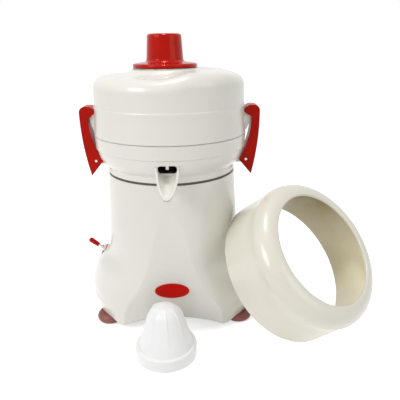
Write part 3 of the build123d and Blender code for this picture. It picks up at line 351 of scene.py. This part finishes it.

# %% [markdown]
# ## Inside tint and painted shade on the collar
# The inside of the collar is given a yellower tone than the outside, and it is painted darker and browner
# toward the top as painted shade, where the inside faces down and gets less light. It could be painted on
# as an image, but the form itself says where the tone goes. Which side of the wall a point is on follows
# from its normal: inside, it points toward the ring's axis. The tone starts a little farther from the axis
# than the lip of the hole. All of this is in the piece's own space, so it stays put when the collar is
# lifted.

# %% Inside tint and painted shade in the collar
collar_foot = shaft_foot + Vector((0.172433, -0.054699, 0.084783))
collar_axis = Vector((0.525853, -0.544537, 0.653421))
faces_out = 0.1
faces_in = -0.3
lip_reach = 0.086
wall_reach = 0.094
# Painted shade: from these heights up, the inside turns darker and browner, where it faces down and gets
# less light.
shade_start_height = 0.10
shade_full_height = 0.18
inner_tint_low = (0.93, 0.85, 0.62, 1)
painted_shade_at_top = (0.29, 0.22, 0.055, 1)
inner_tint_cloud = 35
faintest_patch = 0.75
collar_tree = cream_collar.node_tree
place = add(collar_tree, "TexCoord").outputs
from_foot = vectors(collar_tree, "SUBTRACT", place["Object"], collar_foot)["Vector"]
along = vectors(collar_tree, "PROJECT", from_foot, collar_axis)["Vector"]
spoke = vectors(collar_tree, "SUBTRACT", from_foot, along)["Vector"]
outward = vectors(collar_tree, "NORMALIZE", spoke)["Vector"]
facing = vectors(collar_tree, "DOT_PRODUCT", outward, place["Normal"])["Value"]
inside = span(collar_tree, facing, faces_out, faces_in)
reach = vectors(collar_tree, "LENGTH", spoke)["Value"]
behind_lip = span(collar_tree, reach, lip_reach, wall_reach)
patches = span(collar_tree, clouds(collar_tree, inner_tint_cloud), *middle_part, faintest_patch, 1.0)
inner_wall = maths(collar_tree, "MULTIPLY", inside, behind_lip)
inner_tint_mask = maths(collar_tree, "MULTIPLY", inner_wall, patches)
height = add(collar_tree, "SeparateXYZ", Vector=place["Object"]).outputs["Z"]
# Painted shade, darker and browner toward the top of the inside.
painted_shade_upward = span(collar_tree, height, shade_start_height, shade_full_height)
inner_tint_and_shade_colour = add(collar_tree, "MixRGB", Fac=painted_shade_upward, Color1=inner_tint_low, Color2=painted_shade_at_top)
collar_colour = collar_tree.nodes["Principled BSDF"].inputs["Base Color"]
untinted_colour = collar_colour.links[0].from_socket
inner_tint_and_shade = add(collar_tree, "MixRGB", Fac=inner_tint_mask, Color1=untinted_colour, Color2=inner_tint_and_shade_colour.outputs["Color"])
feed(collar_tree, collar_colour, inner_tint_and_shade.outputs["Color"])
print("stain on", cream_collar.name)

# %% [markdown]
# ## Red mouldings
# The pusher, the latches and the switch's sleeve are moulded in a deep red that looks wet but takes fine
# scratches. A red this strong washes out under a clear white mirror layer, so its gloss is tinted like the
# dye. The badge and the switch's plate are enamelled sheet in a lighter red with less gloss.

# %% Red plastic and red plate
red_gloss = (1.0, 0.28, 0.20, 1)
red_plastic = finish(
    "red_plastic", colour=(0.44, 0.003, 0.001), mottle=0.12, cloud=30,
    roughness=0.13, grain=1.2, bump=0.02,
    edge_wear_and_highlight=(0.54, 0.02, 0.01), wear_and_highlight_share=0.4, edge=0.8,
    Specular_IOR_Level=0.5, Specular_Tint=red_gloss,
)
red_latch = finish(
    "red_latch", colour=(0.40, 0.003, 0.001), mottle=0.14, cloud=26,
    roughness=0.32, grain=1.4, bump=0.05,
    edge_wear_and_highlight=(0.50, 0.02, 0.01), wear_and_highlight_share=0.5, edge=0.7,
    Specular_IOR_Level=0.4, Specular_Tint=red_gloss,
)
red_plate = finish(
    "red_plate", colour=(0.54, 0.005, 0.003), mottle=0.08, cloud=20,
    roughness=0.30, grain=0.9, bump=0.04,
    edge_wear_and_highlight=(0.30, 0.01, 0.01), wear_and_highlight_share=0.7, edge=0.5,
    Specular_IOR_Level=0.4, Specular_Tint=red_gloss,
)
wear(red_plastic, "pusher", "pusher_cap", "lever_cap")
wear(red_latch, "latch_left", "latch_right")
wear(red_plate, "badge_plate", "switch_plate")

# %% [markdown]
# ## Rubber and plain plastics
# The feet are brown rubber with a polished mould skin, the seals are black or nearly so. The reamer is a
# white food-grade moulding, so its tone hardly drifts, the feed tube is a creamy one, and the switch's body
# is black. All of them differ only in what goes into the recipe.

# %% Rubber, white and cream plastic, switch body
brown_rubber = finish(
    "brown_rubber", colour=(0.24, 0.070, 0.055), mottle=0.20, cloud=14,
    roughness=0.36, grain=0.8, bump=0.12,
    edge_wear_and_highlight=(0.36, 0.16, 0.13), wear_and_highlight_share=0.5, edge=1.0,
)
black_rubber = finish(
    "black_rubber", colour=(0.030, 0.029, 0.022), mottle=0.20, cloud=12,
    roughness=0.60, grain=0.8, bump=0.20,
    edge_wear_and_highlight=(0.09, 0.09, 0.08), wear_and_highlight_share=0.5, edge=0.5,
)
gasket_rubber = finish(
    "gasket_rubber", colour=(0.075, 0.068, 0.040), mottle=0.20, cloud=12,
    roughness=0.60, grain=0.8, bump=0.20,
    edge_wear_and_highlight=(0.12, 0.11, 0.08), wear_and_highlight_share=0.5, edge=0.5,
)
white_plastic = finish(
    "white_plastic", colour=(0.84, 0.84, 0.83), mottle=0.02, cloud=40,
    roughness=0.36, grain=2.0, bump=0.06,
    edge_wear_and_highlight=(0.80, 0.80, 0.78), wear_and_highlight_share=0.3, edge=1.0,
)
tube_plastic = finish(
    "tube_plastic", colour=(0.72, 0.69, 0.60), mottle=0.05, cloud=40,
    roughness=0.35, grain=2.0, bump=0.06,
    edge_wear_and_highlight=(0.62, 0.58, 0.48), wear_and_highlight_share=0.4,
)
switch_black = finish(
    "switch_black", colour=(0.030, 0.028, 0.026), mottle=0.15, cloud=14,
    roughness=0.45, grain=1.0, bump=0.12,
    edge_wear_and_highlight=(0.10, 0.09, 0.08), wear_and_highlight_share=0.5, edge=0.5,
)
wear(brown_rubber, "rubber_feet")
wear(black_rubber, "cord_gland", "shaft_seal", "lid_gasket")
wear(gasket_rubber, "bowl_gasket")
wear(white_plastic, "reamer")
wear(tube_plastic, "feed_tube")
wear(switch_black, "switch_body")

# %% [markdown]
# ## Bright metals
# Screws are zinc plated and a little cloudy, the switch and the basket nut are nickel, and shaft and
# bearings are ground. The sieve is stainless sheet that was brushed before it was formed. Brushing and
# grinding leave a grain that is drawn out one way, so the noise is stretched along one axis before it is
# used.

# %% Zinc, nickel and steel
zinc_steel = finish(
    "zinc_steel", colour=(0.60, 0.60, 0.58), mottle=0.15, cloud=6,
    roughness=0.32, grain=0.6, bump=0.08,
    edge_wear_and_highlight=(0.75, 0.75, 0.73), wear_and_highlight_share=0.6, edge=0.3,
    Metallic=1.0,
)
nickel = finish(
    "nickel", colour=(0.70, 0.67, 0.60), mottle=0.08, cloud=8,
    roughness=0.18, grain=0.6, bump=0.04,
    edge_wear_and_highlight=(0.80, 0.78, 0.72), wear_and_highlight_share=0.5, edge=0.3,
    Metallic=1.0,
)
sieve_steel = finish(
    "sieve_steel", colour=(0.66, 0.66, 0.65), mottle=0.08, cloud=30,
    roughness=0.27, grain=1.0, bump=0.10,
    edge_wear_and_highlight=(0.78, 0.78, 0.77), wear_and_highlight_share=0.5, edge=0.4,
    stretch=(1, 1, 0.06), Metallic=1.0,
)
bearing_steel = finish(
    "bearing_steel", colour=(0.62, 0.62, 0.64), mottle=0.06, cloud=20,
    roughness=0.20, grain=0.8, bump=0.05,
    edge_wear_and_highlight=(0.76, 0.76, 0.77), wear_and_highlight_share=0.4, edge=0.4,
    stretch=(0.05, 0.05, 1), Metallic=1.0,
)
wear(zinc_steel, "foot_screws", "tie_bolts", "tie_nuts", "motor_screws", "bowl_screws", "latch_pins")
wear(nickel, "switch_barrel", "switch_nut", "toggle_lever", "basket_nut")
wear(sieve_steel, "basket", "grater")
wear(bearing_steel, "bearing_lower", "bearing_upper", "shaft")

# %% [markdown]
# ## Inside the base
# The motor's castings are left as they came from the mould, its laminations are stacked sheet and its
# windings varnished copper. The plate that closes the base from below is painted grey. All this shows only
# through the vents and from below, so the plain recipe is enough.

# %% Aluminium, laminations, copper and grey sheet
cast_aluminium = finish(
    "cast_aluminium", colour=(0.60, 0.60, 0.60), mottle=0.12, cloud=18,
    roughness=0.50, grain=1.2, bump=0.30,
    edge_wear_and_highlight=(0.74, 0.74, 0.74), wear_and_highlight_share=0.6, edge=0.6,
    Metallic=1.0,
)
lamination_steel = finish(
    "lamination_steel", colour=(0.20, 0.20, 0.21), mottle=0.20, cloud=14,
    roughness=0.45, grain=0.6, bump=0.25,
    edge_wear_and_highlight=(0.34, 0.33, 0.32), wear_and_highlight_share=0.6, edge=0.5,
    stretch=(0.03, 0.03, 1), Metallic=1.0,
)
copper_winding = finish(
    "copper_winding", colour=(0.45, 0.16, 0.06), mottle=0.25, cloud=10,
    roughness=0.38, grain=1.0, bump=0.40,
    edge_wear_and_highlight=(0.56, 0.24, 0.10), wear_and_highlight_share=0.5,
    stretch=(0.06, 0.06, 1), Metallic=0.8,
)
grey_sheet = finish(
    "grey_sheet", colour=(0.30, 0.30, 0.29), mottle=0.10, cloud=40,
    roughness=0.45, grain=1.5, bump=0.10,
    edge_wear_and_highlight=(0.42, 0.42, 0.41), wear_and_highlight_share=0.6, edge=0.5,
)
wear(cast_aluminium, "end_shield_lower", "end_shield_upper", "cooling_fan")
wear(lamination_steel, "stator", "rotor_core")
wear(copper_winding, "windings")
wear(grey_sheet, "bottom_plate")

# %% [markdown]
# ## Pieces from rings
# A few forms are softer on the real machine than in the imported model. Turned and moulded pieces are all
# rings on one axis, so one helper joins rings of points into a closed skin, and another turns a profile.
# Blender's Screw modifier can turn a profile too, but plain rings also take ribs and slopes that change on
# the way round. Sizes are written in millimetres here and become metres where the points are made.

# %% Ring helpers
ring_steps = 160
ring_turns = [2 * pi * index / ring_steps for index in range(ring_steps)]
sharp_angle = radians(40)


def settle(name, shape, material, body):
    """Turn a finished shape into a piece with a finish that moves with a body."""
    bmesh.ops.recalc_face_normals(shape, faces=shape.faces)
    mesh = bpy.data.meshes.new(name)
    shape.to_mesh(mesh)
    shape.free()
    mesh.shade_smooth()
    mesh.set_sharp_from_angle(angle=sharp_angle)
    mesh.materials.append(material)
    piece = bpy.data.objects.new(name, mesh)
    scene.collection.objects.link(piece)
    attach(piece, body)
    print(name, len(mesh.polygons), "faces on", body)
    return piece


def skin(rings, closed=False):
    """Join rings of points into a closed shape. A ring of one point is a pole."""
    shape = bmesh.new()
    loops = [[shape.verts.new(point) for point in ring] for ring in rings]
    following = loops[1:] + loops[:1] if closed else loops[1:]
    for low, high in zip(loops, following):
        for index in range(ring_steps):
            after = index + 1
            lower = (low[index % len(low)], low[after % len(low)])
            upper = (high[after % len(high)], high[index % len(high)])
            shape.faces.new(tuple(dict.fromkeys(lower + upper)))
    return shape


def around(axis, radius, height, turn):
    """A point at a radius and a height, in millimetres, round an upright axis."""
    return axis + Vector((radius * cos(turn), radius * sin(turn), height)) / 1000


def turned(profile, axis):
    """Rings of a profile turned round an upright axis. The profile is (radius, height) in millimetres."""
    return [
        [around(axis, radius, height, turn) for turn in ring_turns[: ring_steps if radius else 1]]
        for radius, height in profile
    ]


def arc(middle, radius, start, end, steps=8):
    """Points on an arc in a profile. Angles are in degrees, from the outward direction."""
    turns = [radians(start + (end - start) * index / steps) for index in range(steps + 1)]
    return [(middle[0] + radius * cos(turn), middle[1] + radius * sin(turn)) for turn in turns]


print("rings of", ring_steps, "points")

# %% [markdown]
# ## The pusher
# The pusher is one red moulding: a knob to hold, a flange that stops it on the neck, and a hollow plunger.
# The flange is thicker at the knob than at its rim, and the rim is fully rounded, which is what catches the
# light in a thin line. It is a turned form, so a single profile describes it: from the crown of the knob
# round the rim, down the plunger and up its bore.

# %% Pusher moulding
pusher_low, pusher_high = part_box("pusher")
chute_axis = Vector(((pusher_low.x + pusher_high.x) / 2, (pusher_low.y + pusher_high.y) / 2, 0))
neck_top = 382.0
knob_top = pusher_high.z * 1000
plunger_bottom = pusher_low.z * 1000
flange_r = (pusher_high.x - pusher_low.x) * 1000 / 2
flange_height = 8.0
flange_top = neck_top + flange_height
flange_fall = 9
rim_round = 3.0
rim_steps = 12
root_round = 4.0
knob_top_r = 23.6
knob_base_r = 25.5
knob_round = 4.0
plunger_r = 39.3
moulding_wall = 3.5
bore_r = plunger_r - moulding_wall
grip_r = knob_top_r - moulding_wall

pusher_profile = [
    (0, knob_top),
    *arc((knob_top_r - knob_round, knob_top - knob_round), knob_round, 90, 0),
    *arc((knob_base_r + root_round, flange_top + root_round), root_round, 180, 270),
    *arc((flange_r - rim_round, neck_top + rim_round), rim_round, 90 - flange_fall, -90, rim_steps),
    (plunger_r, neck_top),
    (plunger_r, plunger_bottom),
    (bore_r, plunger_bottom),
    (bore_r, neck_top),
    (grip_r, flange_top - moulding_wall),
    (grip_r, knob_top - knob_round - moulding_wall),
    (0, knob_top - moulding_wall),
]
pusher_shape = skin(turned(pusher_profile, chute_axis))
pusher_moulding = settle("pusher_moulding", pusher_shape, red_plastic, "pusher")
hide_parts("pusher")

# %% [markdown]
# ## The sweep under the feed neck
# On the casting the feed neck grows out of the roof in a wide hollow sweep. A turned ring can't make it,
# because the roof is higher on one side and the sweep has to end flush on it. So its outer edge is found by
# dropping a ray on the roof at every step, and each section is a Bezier curve: it leaves the neck upright
# and arrives along the slope of the roof.

# %% Neck sweep
lid_mesh = nodes["lid"].data
lid_points = [vertex.co for vertex in lid_mesh.vertices]
lid_faces = [face.vertices for face in lid_mesh.polygons]
lid_surface = BVHTree.FromPolygons(lid_points, lid_faces)
neck_r = 45.5
sweep_run = 22.0
neck_edge = 0.2
sweep_top = neck_top - neck_edge
sweep_sink = 0.06
sweep_root = 2.0
sweep_rows = 14
handle_share = 0.55
ray_top = 1000
slope_step = 1.0


def roof_height(reach, turn):
    """Height of the lid's roof in millimetres, at a distance from the neck's axis."""
    hit = lid_surface.ray_cast(around(chute_axis, reach, ray_top, turn), Vector((0, 0, -1)))[0]
    return hit.z * 1000


def sweep_section(turn):
    """The sweep's section from the neck out to the roof, then back under the surface."""
    reach = neck_r + sweep_run
    foot = roof_height(reach, turn) - sweep_sink
    rise = roof_height(reach + slope_step, turn) - roof_height(reach - slope_step, turn)
    slope = rise / (2 * slope_step)
    start = Vector((neck_r, sweep_top))
    end = Vector((reach, foot))
    leave = start + Vector((0, handle_share * (foot - sweep_top)))
    arrive = end - handle_share * sweep_run * Vector((1, slope))
    curve = interpolate_bezier(start, leave, arrive, end, sweep_rows)
    return [*curve, (reach, foot - sweep_root), (neck_r, foot - sweep_root)]


sections = [
    [around(chute_axis, reach, height, turn) for reach, height in sweep_section(turn)] for turn in ring_turns
]
sweep_shape = skin(list(zip(*sections)), closed=True)
settle("neck_sweep", sweep_shape, cream_enamel, "lid")

# %% [markdown]
# ## The ledge on the skirt
# The lid's skirt swells a little toward its top and ends in a small ledge that shows as a bright line. A
# line in the finish would stay flat when the light moves, so it is a thin ring with that swelling as its
# outside, set into the casting.

# %% Skirt ledge
skirt_foot = Vector((112.0, 290.3))
skirt_head = Vector((109.3, 328.0))
ledge_start = 0.7
ledge_run = 0.34
ledge_out = 0.9
ledge_sink = 0.15
ledge_end_sink = 0.05
ledge_return = 3.2
ledge_top = skirt_head.y + ledge_return
ledge_rows = 8
ledge_back_r = 107.8


def skirt_bulge(share):
    """A point on the swelling skirt, from where it starts to leave the casting up to the ledge."""
    point = skirt_foot.lerp(skirt_head, ledge_start + ledge_run * share)
    return point.x - ledge_sink + (ledge_out + ledge_sink) * share**2, point.y


ledge_profile = [
    (ledge_back_r, skirt_bulge(0)[1]),
    *[skirt_bulge(row / ledge_rows) for row in range(ledge_rows + 1)],
    (skirt_head.x - ledge_end_sink, ledge_top),
    (ledge_back_r, ledge_top),
]
ledge_shape = skin(turned(ledge_profile, shaft_foot), closed=True)
settle("skirt_ledge", ledge_shape, cream_enamel, "lid")

# %% [markdown]
# ## Shoulders of the latches
# The latches are moulded with a full round at the top outer corner, where a thumb pulls them off the lid.
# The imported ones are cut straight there, so a small wedge with a round back fills the corner. It is a hair
# narrower than the latch, so that no two faces lie in one plane.

# %% Latch shoulders
flank_top = Vector((132.0, 319.0))
latch_top = 328.0
top_end = 123.2
shoulder_round = 8.5
wedge_depth = 2.0
hair = 0.03
latch_half_width = 12.0
wedge_half_width = latch_half_width - hair


def latch_shoulder(side, body):
    """A wedge with a round back on one latch: side is 1 on the right and -1 on the left."""
    middle = (flank_top.x - shoulder_round, latch_top - hair - shoulder_round)
    profile = [
        tuple(flank_top),
        *arc(middle, shoulder_round, 0, 90),
        (top_end, latch_top - hair),
        (top_end, latch_top - wedge_depth),
        (flank_top.x - wedge_depth, flank_top.y),
    ]
    shape = bmesh.new()
    front, back = [
        [shape.verts.new(shaft_foot + Vector((side * x, y, z)) / 1000) for x, z in profile]
        for y in (-wedge_half_width, wedge_half_width)
    ]
    shape.faces.new(front)
    shape.faces.new(back)
    for index in range(len(profile)):
        shape.faces.new((front[index - 1], front[index], back[index], back[index - 1]))
    settle(body + "_shoulder", shape, red_latch, body)


latch_shoulder(1, "latch_right")
latch_shoulder(-1, "latch_left")

# %% [markdown]
# ## The reamer
# The citrus cone is a white moulding on a low brim. Its sides are straight, its crown is flat enough to
# press a half fruit on, and eight thin ribs run up it and fade out toward the brim and the crown. Ribs made
# as pieces of their own would leave seams, so each ring of the cone gets them as narrow crests of a cosine.

# %% Reamer with thin ribs
reamer_low, reamer_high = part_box("reamer")
reamer_axis = Vector(((reamer_low.x + reamer_high.x) / 2, (reamer_low.y + reamer_high.y) / 2, 0))
brim_r = 43.0
brim_height = 18.0
brim_round = 2.5
foot_round = 1.0
foot_steps = 4
hollow_foot_r = 38.0
hollow_bend = (33.0, 13.0)
hollow_top_r = 13.0
hollow_top = 52.0
socket_r = 6.0
socket_top = 63.0
cone_foot_r = 37.8
cone_slope = 0.325
crown_start = 61.0
crown_power = 3.0
reamer_height = reamer_high.z * 1000
rib_count = 8
rib_height = 1.5
rib_sharpness = 14
rib_turn = radians(8)
rib_fade_r = 18.0
cone_rows = 36


def cone_ring(height):
    """One ring of the cone, with the ribs that it has at that height."""
    share = max(0.0, (height - crown_start) / (reamer_height - crown_start))
    side = cone_foot_r - cone_slope * (height - brim_height)
    radius = side * (1 - share**crown_power) ** (1 / crown_power)
    rise = min(1.0, (height - brim_height) / (crown_start - brim_height))
    fade = rise * min(1.0, radius / rib_fade_r)
    crests = [(0.5 + 0.5 * cos(rib_count * (turn - rib_turn))) ** rib_sharpness for turn in ring_turns]
    return [
        around(reamer_axis, radius + rib_height * fade * crest, height, turn)
        for crest, turn in zip(crests, ring_turns)
    ]


brim_profile = [
    (0, socket_top),
    (socket_r, socket_top),
    (socket_r, hollow_top),
    (hollow_top_r, hollow_top),
    hollow_bend,
    (hollow_foot_r, 0),
    *arc((brim_r - foot_round, foot_round), foot_round, -90, 0, foot_steps),
    *arc((brim_r - brim_round, brim_height - brim_round), brim_round, 0, 90),
]
cone_height = reamer_height - brim_height
cone_rises = [sin(pi / 2 * row / cone_rows) for row in range(cone_rows)]
cone_rings = [cone_ring(brim_height + cone_height * rise) for rise in cone_rises]
crown = [around(reamer_axis, 0, reamer_height, 0)]
reamer_shape = skin([*turned(brim_profile, reamer_axis), *cone_rings, crown])
reamer_cone = settle("reamer_cone", reamer_shape, white_plastic, "reamer")
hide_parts("reamer")

# %% [markdown]
# ## Closing

# %% End of the scene
print("scene done")
